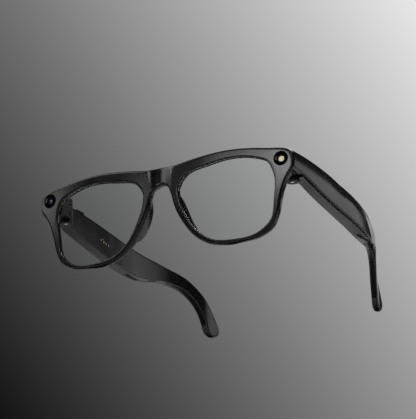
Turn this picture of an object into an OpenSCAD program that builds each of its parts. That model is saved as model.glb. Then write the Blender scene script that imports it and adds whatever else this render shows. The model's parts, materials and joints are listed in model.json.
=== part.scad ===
// Smart glasses with a camera, a capture light and two folding temples.
// Millimetres. +X is the wearer's left, +Y points back along the temples, +Z is up.
// The origin is under the middle of the glasses, on the surface that they stand on.

/* [Front] */
// Radius of the wrap curve that the whole front follows
wrap_r = 525; // [450:5:700]
// Thickness of the front frame, front to back
front_t = 3.6; // [3.4:0.1:4]
// Thickness of each lens
lens_t = 1.8; // [1.4:0.1:2]
// Depth of the lens groove in the rim
groove_d = 0.7; // [0.5:0.1:0.9]
// How far the nose pads stand out behind the front
pad_depth = 6.4; // [4:0.2:7]

/* [Camera and light] */
// Distance of the camera and of the light from the centre line
eye_x = 66.6; // [66.2:0.1:66.6]
// Height of the camera and of the light
eye_z = 40.5; // [40.2:0.1:40.8]
// Radius of the round cover glasses
glass_r = 3.7; // [3.4:0.1:3.8]

/* [Hinges] */
// Distance of each hinge pin from the centre line
pin_x = 65.7; // [65.5:0.1:65.8]
// Distance of each hinge pin behind the front of the bridge
pin_depth = 18.8; // [18.6:0.1:19]
// Radius of the hinge pins
pin_r = 0.9; // [0.7:0.05:1]
// Radius of the hinge knuckles
knuckle_r = 3.5; // [3.2:0.1:3.5]
// Radial clearance of the moving knuckle on its pin
pin_play = 0.05; // [0.02:0.01:0.08]

/* [Temples] */
// Wall thickness of the temple covers
wall = 1.3; // [1.2:0.1:1.4]
// Distance of the flat inner face of each temple from the centre line
inner_x = 67; // [66.9:0.05:67.1]

/* [Controls] */
// Travel of the power switch
slide = 2; // [1:0.5:2.5]

/* [Hidden] */

$fn = 48;
big_fn = 360;

// Overall depth, from the bridge to the ends of the temples
depth = 164;
tall = 60;
fit_gap = 0.05;
frame_black = [0.10, 0.10, 0.11];
cover_black = [0.07, 0.07, 0.08];
rubber_black = [0.03, 0.03, 0.03];
board_green = [0.05, 0.25, 0.15];
foil_grey = [0.55, 0.56, 0.58];
gold = [0.83, 0.66, 0.35];
steel = [0.72, 0.73, 0.75];

// One lens opening of the wearer's left side, clockwise from the nose: [x, z]
lens_points = [
    [10.2, 34], [14.4, 39.8], [26.5, 43.2], [38.5, 44.8], [51.5, 43.2], [58.8, 39.8],
    [62, 33], [61.7, 20], [59.5, 9.5], [52.5, 3.8], [39.6, 2], [27.3, 4],
    [20, 9.5], [14.2, 18.5], [10.6, 28]
];
// Outer edge of the left half of the front, from the top of the bridge
// round the end piece and the rim to the arch over the nose: [x, z]
upper_points = [
    [7.8, 45.9], [13.5, 47], [24, 48.5], [36, 49.4], [50, 48.6], [60, 47.1], [67.5, 46]
];
corner_points = [[70.5, 45], [72.1, 43.2], [72.9, 40.2], [73, 37.6], [72.3, 35.1], [70.8, 32.9]];
rim_points = [
    [69.2, 30.6], [67.1, 26.2], [65.4, 20.5], [63.6, 12.5], [60.2, 5.6], [53.4, 1.6],
    [44, 0.2], [34.5, 0], [25.5, 2], [18, 7.1], [12, 15], [7.9, 23], [5.5, 32.3]
];
arch_points = [[3.9, 35.2], [2.2, 36.6], [0, 37.1]];
bridge_points = [[0, 46.9], [4, 46.6]];

// Side view of a temple: [y, z], y counted back from the bridge
temple_top = [
    [6.5, 44.4], [20, 44.3], [37, 43.6], [60, 42.1], [81.5, 39.7], [102, 37], [122, 34],
    [140, 29.2], [150, 22.2], [157, 14.8], [161.8, 8.6]
];
temple_tip = [[164, 4.4], [162.3, 1.2], [159, 0], [155.5, 0.2], [153, 2]];
temple_bottom = [
    [151.4, 6], [149, 11.4], [144.5, 17.6], [137, 22.8], [128, 25], [119.5, 25.2],
    [110, 23.8], [100.5, 23], [80, 24.5], [58, 26.9], [36, 29.9], [19, 33], [6.5, 34.4]
];
// Plan view of the outer and the inner side of a temple: [x, y]
outer_plan = [
    [72.8, 6.5], [73.6, 20], [74.3, 50], [74.5, 78], [72.4, 102], [66.8, 122],
    [59.3, 140], [54.1, 153], [52.2, 164]
];
inner_bend = [
    [inner_x, 68], [inner_x - 0.4, 84], [65.2, 102], [60.8, 122], [54.9, 140], [50.2, 153], [48.6, 164]
];

// Smooth curve through points: cubic pieces that share their slope at each point
function near(p, i) = p[(i + len(p)) % len(p)];
function chord(p, i) = norm(near(p, i + 1) - near(p, i));
function step_at(p, i) = (near(p, i + 1) - near(p, i)) / chord(p, i);
function slope(p, i, closed) =
    !closed && i == 0 ? step_at(p, 0)
    : !closed && i == len(p) - 1 ? step_at(p, i - 1)
    : (step_at(p, i - 1) * chord(p, i) + step_at(p, i) * chord(p, i - 1))
        / (chord(p, i) + chord(p, i - 1));
function on_piece(p, i, u, closed) =
    let (h = chord(p, i), v = 1 - u)
    near(p, i) * (1 + 2 * u) * v * v + near(p, i + 1) * u * u * (3 - 2 * u)
        + (slope(p, i, closed) * u * v * v - slope(p, (i + 1) % len(p), closed) * u * u * v) * h;
function smooth(p, closed = true, n = 5) = concat(
    [for (i = [0 : len(p) - (closed ? 1 : 2)]) for (k = [0 : n - 1]) on_piece(p, i, k / n, closed)],
    closed ? [] : [p[len(p) - 1]]
);
function reversed(p) = [for (i = [len(p) - 1 : -1 : 0]) p[i]];
function mirrored(p) = [for (q = reversed(p)) [-q[0], q[1]]];
// A clockwise closed curve moved outwards by d
function grown(p, d) = [
    for (i = [0 : len(p) - 1])
        let (t = near(p, i + 1) - near(p, i - 1)) p[i] + [-t[1], t[0]] * d / norm(t)
];
// An open curve moved sideways by d, to the left of its direction
function beside(p, d) = [
    for (i = [0 : len(p) - 1])
        let (t = p[min(i + 1, len(p) - 1)] - p[max(i - 1, 0)]) p[i] + [-t[1], t[0]] * d / norm(t)
];
function band(p, a, b) = concat(beside(p, a), reversed(beside(p, b)));
function shift_x(p, d) = [for (q = p) [q[0] + d, q[1]]];

rim_outline = smooth(concat(upper_points, corner_points, rim_points, arch_points), false);
half_front = concat(bridge_points, rim_outline);
front_outline = concat(half_front, mirrored([for (q = half_front) if (q[0] > 0) q]));
lens_outline = smooth(lens_points);
temple_side = smooth(concat(temple_top, temple_tip, temple_bottom), false);
inner_plan = concat([[inner_x, 6.5]], smooth(inner_bend, false));
outer_side = smooth(outer_plan, false);
bottom_curve = smooth(reversed(temple_bottom), false);

// Extrusions of an outline along one axis
module along_x(p, from, to) {
    translate([from, 0, 0]) rotate([90, 0, 90]) linear_extrude(to - from) polygon(p);
}
module along_y(p, from, to) {
    translate([0, to, 0]) rotate([90, 0, 0]) linear_extrude(to - from) polygon(p);
}
module along_z(p, from, to) {
    translate([0, 0, from]) linear_extrude(to - from) polygon(p);
}
module block(low, high) {
    translate(low) cube(high - low);
}
module at_centre() {
    translate([0, -depth / 2, 0]) children();
}
module on_side(side) {
    if (side < 0) mirror([1, 0, 0]) children();
    else children();
}

// --- Front -----------------------------------------------------------------

// The curved sheet of space from depth a to depth b behind the front surface
module sheet(a, b) {
    translate([0, wrap_r, -1]) difference() {
        cylinder(r = wrap_r - a, h = tall, $fn = big_fn);
        translate([0, 0, -1]) cylinder(r = wrap_r - b, h = tall + 2, $fn = big_fn);
    }
}

// Everything behind the front frame
module behind_front() {
    translate([0, wrap_r, 0]) cylinder(r = wrap_r - front_t, h = tall, $fn = big_fn);
}

function surface_y(x) = wrap_r - sqrt(wrap_r * wrap_r - x * x);
eye_tilt = asin(eye_x / wrap_r);

// Stands on the front surface at the camera or the light, and looks straight in
module at_eye(side) {
    translate([side * eye_x, surface_y(eye_x), eye_z])
        rotate([0, 0, side * eye_tilt]) rotate([-90, 0, 0]) children();
}
module disc(r, from, to) {
    translate([0, 0, from]) cylinder(r = r, h = to - from);
}

eye_play = 0.5;
brow_inset = 0.6;
brow_cut = 35;
brow_t = 1.3;
brow_half = 58;
cable_line = smooth([[0, 41.6], [10, 42.6], [20, 44.7], [37, 46.9], [50, 45.8], [58, 43.6]], false);

// The bridge is hollowed by a cone in front, and rounded behind
module bridge_hollow() {
    translate([0, -11, 30]) cylinder(r1 = 11.9, r2 = 13.8, h = 20);
}
module bridge_back() {
    intersection() {
        translate([0, -3, 0]) cylinder(r = 9.3, h = tall);
        behind_front();
    }
}
module lens_body(grow, from, to) {
    intersection() {
        along_y(grown(lens_outline, grow), -1, 20);
        sheet(from, to);
    }
}
module cable_band(half_w, from, to) {
    intersection() {
        union() for (side = [-1, 1]) on_side(side) along_y(band(cable_line, half_w, -half_w), 0, 14);
        sheet(from, to);
    }
}

lens_front = 1.1;
channel_d = 0.8;
// The front frame is cut flat behind its ends, where the temple covers meet it
seam_y = 6.3;
microphone_at = [14, 42.2];

module microphone_hole(r, from, to) {
    translate([microphone_at[0], front_t + 0.2 + from, microphone_at[1]])
        rotate([-90, 0, 0]) cylinder(r = r, h = to - from);
}

module front_frame() {
    color(frame_black) at_centre() difference() {
        intersection() {
            along_y(front_outline, -1, 14);
            sheet(0, front_t);
        }
        bridge_hollow();
        for (side = [-1, 1]) on_side(side) {
            along_y(lens_outline, -2, 20);
            lens_body(groove_d, lens_front - fit_gap, lens_front + lens_t + fit_gap);
        }
        for (side = [-1, 1]) at_eye(side) disc(glass_r + eye_play, -2, 10);
        cable_band(1, front_t - channel_d, front_t + 1);
        for (side = [-1, 1]) on_side(side) block([block_out, seam_y, 0], [80, 20, tall]);
    }
}
module lens(side) {
    color([0.75, 0.8, 0.82, 0.25]) at_centre() on_side(side)
        lens_body(groove_d - fit_gap, lens_front, lens_front + lens_t);
}
module brow_cover() {
    color(cover_black) at_centre() difference() {
        intersection() {
            along_y(grown(front_outline, -brow_inset), 0, 16);
            union() {
                sheet(front_t, front_t + brow_t);
                bridge_back();
            }
            block([-brow_half, -1, brow_cut], [brow_half, 16, tall]);
        }
        for (side = [-1, 1]) on_side(side) along_y(grown(lens_outline, brow_inset), 0, 20);
        microphone_hole(1, -1, 5);
    }
}
module front_flex() {
    color(gold) at_centre() cable_band(0.8, front_t - 0.6, front_t - 0.3);
}
module nose_microphone() {
    color(foil_grey) at_centre() microphone_hole(0.95, 0.1, 1);
}

// Outline of a nose pad behind the nasal rim: [x, z]
pad_points = [
    [6.6, 30.5], [8.6, 32], [10.2, 29.5], [12.6, 22.5], [15.2, 16], [18, 11.4],
    [17.4, 9.3], [14.2, 12.6], [10.6, 18.8], [8, 25.5]
];

module nose_pad(side) {
    color(frame_black) at_centre() on_side(side) intersection() {
        along_y(smooth(pad_points), 0, 24);
        sheet(front_t, front_t + pad_depth);
    }
}

// --- Camera and light ------------------------------------------------------

module eye_ring(side) {
    color(rubber_black) at_centre() at_eye(side) difference() {
        disc(glass_r + eye_play, 0.1, 2.4);
        disc(glass_r, 0, 1.3);
        disc(glass_r - 0.4, 1, 3);
    }
}
module eye_glass(side) {
    color([0.02, 0.02, 0.03]) at_centre() at_eye(side) disc(glass_r, 0.3, 1.3);
}
module camera_barrel() {
    color([0.12, 0.12, 0.16]) at_centre() at_eye(-1) difference() {
        disc(2.6, 1.4, 6.6);
        disc(1.5, 1, 2.4);
    }
}
module eye_board(side, from) {
    color(board_green) at_centre() at_eye(side) disc(3.1, from, from + 0.8);
}
module light_emitter() {
    color([0.95, 0.93, 0.75]) at_centre() at_eye(1) disc(1.3, 1.4, 2.6);
}

// --- Hinges ----------------------------------------------------------------

block_low = 34.2;
block_high = 44.8;
knuckle_low = 31.8;
arm_low = 35.4;
arm_high = 41.3;
knuckle_gap = 0.2;
knuckle_high = 45.4;
block_out = 70.3;
block_back = pin_depth - knuckle_r - 0.3;
block_plan = [
    [61.2, 4], [block_out, 4], [block_out, block_back], [61.9, block_back]
];
web_plan = [
    [pin_x - knuckle_r, block_back - 2], [66.8, block_back - 2], [66.8, pin_depth],
    [pin_x - knuckle_r, pin_depth]
];

module at_pin(r, from, to) {
    translate([pin_x, pin_depth, from]) cylinder(r = r, h = to - from);
}
module fixed_knuckle(from, to, web_from) {
    at_pin(knuckle_r, from, to);
    along_z(web_plan, web_from, to);
}
module hinge_block(side) {
    cavity_r = 3.3;
    color(frame_black) at_centre() on_side(side) difference() {
        union() {
            intersection() {
                along_z(block_plan, block_low, block_high);
                behind_front();
            }
            fixed_knuckle(knuckle_low, arm_low - knuckle_gap, block_low);
            fixed_knuckle(arm_high + knuckle_gap, knuckle_high, arm_high + knuckle_gap);
        }
        at_eye(1) disc(cavity_r, -1, 9.5);
        at_pin(pin_r, knuckle_low - 1, knuckle_high - 0.8);
    }
}
module hinge_pin(side) {
    color(steel) at_centre() on_side(side) at_pin(pin_r, knuckle_low + 0.1, knuckle_high - 0.8);
}
module hinge_arm(side) {
    leaf_in = inner_x + wall;
    color([0.15, 0.15, 0.16]) at_centre() on_side(side) difference() {
        union() {
            at_pin(knuckle_r, arm_low, arm_high);
            block([leaf_in, pin_depth - 1.5, arm_low], [leaf_in + 1.6, pin_depth + 15, arm_high]);
        }
        at_pin(pin_r + pin_play, arm_low - 1, arm_high + 1);
        for (back = [8, 12.5]) translate([leaf_in - 1, pin_depth + back, 38.3])
            rotate([0, 90, 0]) cylinder(r = 0.6, h = 4);
    }
}
module hinge_screws(side) {
    color(steel) at_centre() on_side(side) for (back = [8, 12.5])
        translate([inner_x + wall, pin_depth + back, 38.3]) rotate([0, 90, 0])
            cylinder(r = 0.6, h = 1.6);
}

// --- Temples ---------------------------------------------------------------

inner_t = 1.7;
floor_t = 1;
floor_gap = 0.8;
floor_start = 17.2;
floor_end = 108;
split_plan = shift_x(inner_plan, inner_t);
cavity_from = 20;
cavity_to = 110;
knuckle_room = 0.35;
floor_band = band(bottom_curve, -1, floor_t);

// The space between two plan curves, inside the side view of the temple
module temple_slice(near_plan, far_plan) {
    intersection() {
        along_x(temple_side, 40, 80);
        along_z(concat(near_plan, reversed(far_plan)), -1, tall);
    }
}
module floor_zone(from) {
    intersection() {
        along_x(floor_band, 40, 80);
        block([40, from, -1], [80, floor_end, tall]);
    }
}
module cavity() {
    intersection() {
        along_x(grown(temple_side, -1.6), 40, 80);
        along_z(concat(shift_x(inner_plan, wall), reversed(shift_x(outer_side, -wall))), -1, tall);
        block([40, cavity_from, -1], [80, cavity_to, tall]);
    }
}
module tip_path(half_w, from, to) {
    tip_curve = smooth([[112, 30.6], [122, 29.6], [138, 26], [147, 20], [153, 13.4], [157, 7]], false);
    intersection() {
        along_x(band(tip_curve, half_w, -half_w), 40, 80);
        along_z(concat(shift_x(inner_plan, from), reversed(shift_x(inner_plan, to))), -1, tall);
    }
}
module strip_space() {
    strip_curve = smooth([[128, 25], [137, 22.8], [144.5, 17.6], [149, 11.4], [151.4, 6]], false);
    intersection() {
        along_x(band(strip_curve, 2, -0.7), 40, 80);
        along_z(concat(shift_x(inner_plan, 1.1), reversed(shift_x(inner_plan, 2.9))), -1, tall);
        block([40, 129, 5.5], [80, 156, tall]);
    }
}
module grille_space() {
    intersection() {
        along_x(band(bottom_curve, -2, floor_t), 40, 80);
        block([68.3, 91, -1], [70.9, 105, tall]);
    }
}
module knuckle_space() {
    at_pin(knuckle_r + knuckle_room, -1, tall);
}
// The room that the hinge block takes inside the front end of the outer cover
module block_space() {
    block([40, 0, -1], [block_out + 0.25, cavity_from + 1, tall]);
}
module button_space() {
    block(button_low - [slot_gap, slot_gap, 1], button_high + [slot_gap, slot_gap, 2]);
}
module switch_space() {
    block([inner_x - 1, switch_from - 0.2, 35.2],
        [inner_x + 0.9, switch_from + switch_l + slide + 0.2, 37.8]);
}

switch_from = 36.6;
switch_l = 5;
button_low = [69.1, 36, 41];
button_high = [71.1, 44, 43.9];
flange_t = 0.5;
flange_w = 0.35;
slot_gap = 0.15;

module outer_cover(side) {
    color(cover_black) at_centre() on_side(side) difference() {
        temple_slice(split_plan, outer_side);
        floor_zone(0);
        cavity();
        tip_path(0.75, 1.1, 2.3);
        strip_space();
        block_space();
        knuckle_space();
        if (side < 0) button_space();
    }
}
module inner_cover(side) {
    color(cover_black) at_centre() on_side(side) difference() {
        union() {
            temple_slice(inner_plan, split_plan);
            intersection() {
                temple_slice(split_plan, shift_x(outer_side, -floor_gap));
                floor_zone(floor_start);
            }
        }
        cavity();
        tip_path(0.75, 1.1, 2.3);
        strip_space();
        block([40, 0, -1], [80, floor_start, tall]);
        knuckle_space();
        grille_space();
        if (side < 0) {
            contact_holes(0.1);
            translate([inner_x - 1, 39.7, 33.3]) rotate([0, 90, 0]) cylinder(r = 0.35, h = 4);
        }
        if (side > 0) switch_space();
    }
}
module tip_core(side) {
    color(steel) at_centre() on_side(side) tip_path(0.7, 1.15, 2.25);
}
module tip_strip(side) {
    color(rubber_black) at_centre() on_side(side) intersection() {
        strip_space();
        along_x(temple_side, 40, 80);
    }
}
module speaker_grille(side) {
    color(rubber_black) at_centre() on_side(side) difference() {
        intersection() {
            grille_space();
            along_x(grown(temple_side, -0.2), 40, 80);
        }
        for (i = [0 : 5]) block([68.9, 92.6 + 2 * i, 0], [70.3, 93.4 + 2 * i, tall]);
    }
}

// --- Electronics inside the temples ----------------------------------------

lean = -6;

// A slab inside a temple that leans with it: middle [y, z] and size [x, y, z]
module inside(middle, size, from_x) {
    translate([from_x, middle[0], middle[1]]) rotate([lean, 0, 0])
        translate([0, -size[1] / 2, -size[2] / 2]) cube(size);
}
module battery(side) {
    color(foil_grey) at_centre() on_side(side) inside([74, 33.4], [3, 26, 8.6], 69);
}
module temple_board(side) {
    color(board_green) at_centre() on_side(side) inside([46, 34.6], [0.8, 22, 7.2], 70.6);
}
module speaker(side) {
    color([0.2, 0.2, 0.22]) at_centre() on_side(side) inside([97, 29.6], [2.4, 12, 6], 67.8);
}
module temple_flex(side) {
    color(gold) at_centre() on_side(side) block([70.1, 30, 37], [70.4, 60, 38]);
}

// --- Controls and contacts -------------------------------------------------

contact_pitch = 2.7;
contact_start = 59.4;
contact_size = [1.2, 1.9];

module contact_holes(grow) {
    for (i = [0 : 3]) {
        y = contact_start + contact_pitch * i;
        z = 34.6 - 0.4 * i;
        block([inner_x - 1, y - contact_size[0] / 2 - grow, z - contact_size[1] / 2 - grow],
            [inner_x + inner_t + 1, y + contact_size[0] / 2 + grow, z + contact_size[1] / 2 + grow]);
    }
}
module charge_contacts() {
    color(gold) at_centre() on_side(-1) intersection() {
        contact_holes(0);
        block([inner_x + 0.05, 50, 20], [inner_x + inner_t - 0.2, 80, 50]);
    }
}
module contact_block() {
    color([0.2, 0.2, 0.2]) at_centre() on_side(-1)
        block([inner_x + inner_t - 0.2, 58, 32], [inner_x + inner_t + 0.2, 69, 36.5]);
}
module right_microphone() {
    color(foil_grey) at_centre() on_side(-1) block([68.5, 37.6, 31.8], [69.6, 41.4, 34.8]);
}
module capture_button() {
    color([0.14, 0.14, 0.15]) at_centre() on_side(-1) {
        block(button_low, button_high);
        block(button_low - [flange_w, flange_w, 0],
            [button_high[0] + flange_w, button_high[1] + flange_w, button_low[2] + flange_t]);
    }
}
module button_switch() {
    color(steel) at_centre() on_side(-1) {
        block([69.4, 38, 39.3], [70.8, 42, 40]);
        translate([70.1, 40, 40]) cylinder(r = 0.6, h = 0.45);
    }
}
module power_switch() {
    color([0.14, 0.14, 0.15]) at_centre()
        block([inner_x - 0.5, switch_from, 35.4], [inner_x + 0.75, switch_from + switch_l, 37.6]);
}

front_frame();
brow_cover();
lens(1);  // left_lens
lens(-1);  // right_lens
nose_pad(1);  // left_nose_pad
nose_pad(-1);  // right_nose_pad
hinge_block(1);  // left_hinge_block
hinge_block(-1);  // right_hinge_block
hinge_pin(1);  // left_hinge_pin
hinge_pin(-1);  // right_hinge_pin
eye_ring(-1);  // camera_ring
eye_glass(-1);  // camera_glass
camera_barrel();
eye_board(-1, 7);  // camera_board
eye_ring(1);  // light_ring
eye_glass(1);  // light_glass
light_emitter();
eye_board(1, 2.7);  // light_board
front_flex();
nose_microphone();
outer_cover(1);  // left_outer_cover
inner_cover(1);  // left_inner_cover
hinge_arm(1);  // left_hinge_arm
hinge_screws(1);  // left_hinge_screws
battery(1);  // left_battery
temple_board(1);  // left_touch_board
speaker(1);  // left_speaker
speaker_grille(1);  // left_speaker_grille
tip_core(1);  // left_tip_core
tip_strip(1);  // left_tip_strip
temple_flex(1);  // left_flex
power_switch();
outer_cover(-1);  // right_outer_cover
inner_cover(-1);  // right_inner_cover
hinge_arm(-1);  // right_hinge_arm
hinge_screws(-1);  // right_hinge_screws
battery(-1);  // right_battery
temple_board(-1);  // right_main_board
speaker(-1);  // right_speaker
speaker_grille(-1);  // right_speaker_grille
tip_core(-1);  // right_tip_core
tip_strip(-1);  // right_tip_strip
temple_flex(-1);  // right_flex
charge_contacts();
contact_block();
right_microphone();
capture_button();
button_switch();
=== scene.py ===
import json
import math
import bmesh
import bpy
import numpy as np
from mathutils import Matrix, Vector


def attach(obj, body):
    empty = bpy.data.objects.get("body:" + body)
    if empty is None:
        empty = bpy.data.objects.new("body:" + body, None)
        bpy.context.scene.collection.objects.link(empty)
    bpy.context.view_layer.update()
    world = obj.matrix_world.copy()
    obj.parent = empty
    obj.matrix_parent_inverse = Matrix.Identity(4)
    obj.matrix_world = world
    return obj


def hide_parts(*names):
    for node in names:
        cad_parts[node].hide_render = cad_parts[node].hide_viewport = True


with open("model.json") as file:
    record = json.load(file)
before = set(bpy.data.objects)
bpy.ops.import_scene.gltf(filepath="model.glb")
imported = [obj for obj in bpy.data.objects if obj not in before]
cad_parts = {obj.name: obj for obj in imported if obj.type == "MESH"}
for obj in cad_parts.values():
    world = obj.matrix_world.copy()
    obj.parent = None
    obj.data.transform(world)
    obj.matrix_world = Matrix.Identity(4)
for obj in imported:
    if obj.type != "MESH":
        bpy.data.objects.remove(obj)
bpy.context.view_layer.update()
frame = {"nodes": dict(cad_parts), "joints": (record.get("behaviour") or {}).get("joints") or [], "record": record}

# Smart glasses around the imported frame. Lengths in this script are millimetres, counted as in the
# part: x from the middle to the wearer's left, y back from the bridge, z up from the surface that
# the glasses stand on. build() turns them into metres in the row frame.

MM = 0.001
# The left hinge pin ties this script to the frame. PIN_Y is how far it stands behind the bridge.
PIN = next(j for j in frame["joints"] if j["name"] == "left_fold")["pos_m"]
PIN_X = PIN[0] / MM
PIN_Y = 18.8
FRONT_Y = PIN[1] / MM - PIN_Y
SIDES = ((1, "left"), (-1, "right"))
# Points nearer than WELD are joined, and edges shorter than TINY are dropped, in metres
WELD = 2e-7
TINY = 1e-7

# --- Curves ---


def curve(points, t, closed=False):
    """The smooth curve through points, at the positions t counted in points."""
    p = np.asarray(points, float)
    count = len(p)
    t = np.atleast_1d(np.asarray(t, float))
    ahead = np.roll(p, -1, axis=0) - p
    if not closed:
        ahead[-1] = ahead[-2]
    length = np.linalg.norm(ahead, axis=1)[:, None]
    step = ahead / length
    before_step, before_length = np.roll(step, 1, axis=0), np.roll(length, 1, axis=0)
    slope = (before_step * length + step * before_length) / (length + before_length)
    if not closed:
        slope[0], slope[-1] = step[0], step[-2]
        t = np.clip(t, 0, count - 1)
    i = np.floor(t).astype(int)
    if not closed:
        i = np.minimum(i, count - 2)
    u = (t - i)[:, None]
    a, b = i % count, (i + 1) % count
    v = 1 - u
    return (p[a] * (1 + 2 * u) * v * v + p[b] * u * u * (3 - 2 * u)
            + (slope[a] * u * v * v - slope[b] * u * u * v) * length[a])


def side_of(line, closed=False):
    """Unit vectors to the left of a line's direction, at each of its points."""
    if closed:
        along = np.roll(line, -1, axis=0) - np.roll(line, 1, axis=0)
    else:
        along = np.gradient(line, axis=0)
    left = np.stack([-along[:, 1], along[:, 0]], axis=1)
    return left / np.linalg.norm(left, axis=1)[:, None]


def ramp(x, start, end):
    """0 before start and 1 after end, with a smooth step between."""
    u = np.clip((np.asarray(x, float) - start) / (end - start), 0, 1)
    return u * u * (3 - 2 * u)


def read(table, places):
    """The values at places from a table of (place, value) pairs."""
    return np.interp(places, *np.array(table, float).T)


def quarter(steps):
    """A quarter round from a face to a wall: its distances from the wall and the face, in radii."""
    return [(1 - math.sin(a), 1 - math.cos(a)) for a in np.linspace(0, math.pi / 2, steps + 1)]


# --- Meshes ---


def solid(name, verts, faces):
    """A closed mesh object from millimetre points."""
    mesh = bpy.data.meshes.new(name)
    v = np.array(verts, float)
    v[:, 1] += FRONT_Y
    mesh.from_pydata((v * MM).tolist(), [], [list(map(int, f)) for f in faces])
    work = bmesh.new()
    work.from_mesh(mesh)
    bmesh.ops.remove_doubles(work, verts=work.verts, dist=WELD)
    bmesh.ops.dissolve_degenerate(work, edges=work.edges, dist=TINY)
    bmesh.ops.recalc_face_normals(work, faces=work.faces)
    for face in work.faces:
        face.smooth = True
    work.to_mesh(mesh)
    work.free()
    obj = bpy.data.objects.new(name, mesh)
    bpy.context.scene.collection.objects.link(obj)
    return obj


def cut(obj, cutters, tolerant):
    """Takes the cutters' volumes out of a solid. Thin shells need the tolerant way."""
    tools = [solid("tool_%d" % i, c.verts, c.faces) for i, c in enumerate(cutters)]
    for tool in tools:
        modifier = obj.modifiers.new(tool.name, "BOOLEAN")
        modifier.operation = "DIFFERENCE"
        modifier.solver = "EXACT"
        modifier.use_hole_tolerant = tolerant
        modifier.object = tool
    shape = obj.evaluated_get(bpy.context.evaluated_depsgraph_get())
    old, obj.data = obj.data, bpy.data.meshes.new_from_object(shape)
    obj.modifiers.clear()
    bpy.data.meshes.remove(old)
    for tool in tools:
        bpy.data.meshes.remove(tool.data)


def grid(rows, cols, start, closed=False):
    """Quads over a grid of points stored row by row. Closed joins the last column to the first."""
    quads = []
    for r in range(rows - 1):
        here, ahead = start + r * cols, start + (r + 1) * cols
        for c in range(cols if closed else cols - 1):
            c2 = (c + 1) % cols
            quads.append([here + c, here + c2, ahead + c2, ahead + c])
    return quads


class Shell:
    """Collects the points and faces of one piece, from lofted, turned or open parts."""

    def __init__(self):
        self.verts = []
        self.faces = []

    def loft(self, rings):
        """A skin over rings of points, with a cap at each end."""
        rings = np.asarray(rings, float)
        stations, around = rings.shape[:2]
        start = len(self.verts)
        self.verts += rings.reshape(-1, 3).tolist()
        self.faces += grid(stations, around, start, closed=True)
        last = start + (stations - 1) * around
        self.faces.append(list(range(start, start + around)))
        self.faces.append(list(range(last, last + around)))
        return self

    def patch(self, points):
        """An open grid of points, to be welded to its neighbours."""
        rows, cols = points.shape[:2]
        start = len(self.verts)
        self.verts += points.reshape(-1, 3).tolist()
        self.faces += grid(rows, cols, start)
        return self

    def prism(self, plan, low, high, round_edge, segments=4):
        """A flat outline [x, y] that stands from low to high, with rounded edges."""
        plan = np.asarray(plan, float)
        inward = side_of(plan, closed=True)
        area = np.sum(plan[:, 0] * np.roll(plan[:, 1], -1) - plan[:, 1] * np.roll(plan[:, 0], -1))
        inward = inward if area > 0 else -inward
        rings = []
        for base, up in ((low, 1), (high, -1)):
            for inset, rise in quarter(segments)[::up]:
                ring = plan + inward * round_edge * inset
                rings.append(np.c_[ring, np.full(len(ring), base + up * round_edge * rise)])
        return self.loft(rings)

    def turn(self, profile, place, around=48):
        """A profile of [radius, height] turned about place's z axis."""
        angles = np.linspace(0, 2 * math.pi, around, endpoint=False)
        rings = []
        for radius, height in profile:
            ring = np.c_[radius * np.cos(angles), radius * np.sin(angles), np.full(around, height)]
            rings.append([list(place @ Vector(q)) for q in ring])
        return self.loft(rings)

    def mirrored(self, side):
        """The same piece on the given side: 1 is the wearer's left and -1 the right."""
        if side < 0:
            self.verts = [[-x, y, z] for x, y, z in self.verts]
        return self

    def build(self, name, slot, body, node=None, sharp=28.0, cutters=(), tolerant=False, finish=None):
        """The finished piece, creased where it bends by sharp degrees, which rides on a body and
        stands for a node. A finish is a material of its own for the slot."""
        obj = solid(name, self.verts, self.faces)
        if cutters:
            cut(obj, cutters, tolerant)
        mesh = obj.data
        mesh.name = name
        mesh.set_sharp_from_angle(angle=math.radians(sharp))
        mesh.materials.append(LOOKS[finish or slot])
        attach(obj, body)
        if node:
            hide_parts(node)


def rounded(corners, radii, edge_steps, corner_steps):
    """A closed outline with round corners. Each edge after its corner is cut into edge_steps."""
    corners = np.asarray(corners, float)
    count = len(corners)

    def toward(start, end):
        return (end - start) / max(np.linalg.norm(end - start), 1e-9)

    loop = []
    for i in range(count):
        here, before, after = corners[i], corners[i - 1], corners[(i + 1) % count]
        for k in range(corner_steps + 1):
            u = k / corner_steps
            loop.append(here + toward(here, before) * radii[i] * (1 - u) ** 2
                        + toward(here, after) * radii[i] * u * u)
        reach = after + toward(after, here) * radii[(i + 1) % count]
        for k in range(1, edge_steps[i]):
            loop.append(loop[-1] + (reach - loop[-1]) / (edge_steps[i] - k + 1))
    return np.array(loop)


# --- Materials ---


MOTTLE_SCALE = 90.0
GRAIN_SCALE = 500.0
GRAIN_HEIGHT = 0.000004
# Worn edges: how much of the paler colour they take, and where on the scale of Pointiness
WEAR = (0.0, 0.35, 0.55, 0.72)


def new_material(name):
    material = bpy.data.materials.new(name)
    material.use_nodes = True
    return material, material.node_tree, material.node_tree.nodes["Principled BSDF"]


def feed(tree, node, values):
    """Sets sockets of a node, or links them where the value is another node's socket."""
    for key, value in values.items():
        if isinstance(value, bpy.types.NodeSocket):
            tree.links.new(value, node.inputs[key])
        else:
            node.inputs[key].default_value = value


def new_node(tree, kind, values=None, **settings):
    node = tree.nodes.new("ShaderNode" + kind)
    for key, value in settings.items():
        setattr(node, key, value)
    feed(tree, node, values or {})
    return node


def noise_node(tree, scale, detail):
    place = new_node(tree, "TexCoord").outputs["Object"]
    return new_node(tree, "TexNoise", {"Vector": place, "Scale": scale, "Detail": detail}).outputs["Fac"]


def map_node(tree, value, low, high, from_low=0.3, from_high=0.7):
    node = new_node(tree, "MapRange", {"Value": value, "From Min": from_low, "From Max": from_high,
                                       "To Min": low, "To Max": high})
    return node.outputs["Result"]


def color_node(tree, value, low, high):
    node = new_node(tree, "ValToRGB", {"Fac": value})
    for element, color, position in zip(node.color_ramp.elements, (low, high), (0.35, 0.65)):
        element.color = (*color, 1)
        element.position = position
    return node.outputs["Color"]


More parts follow.
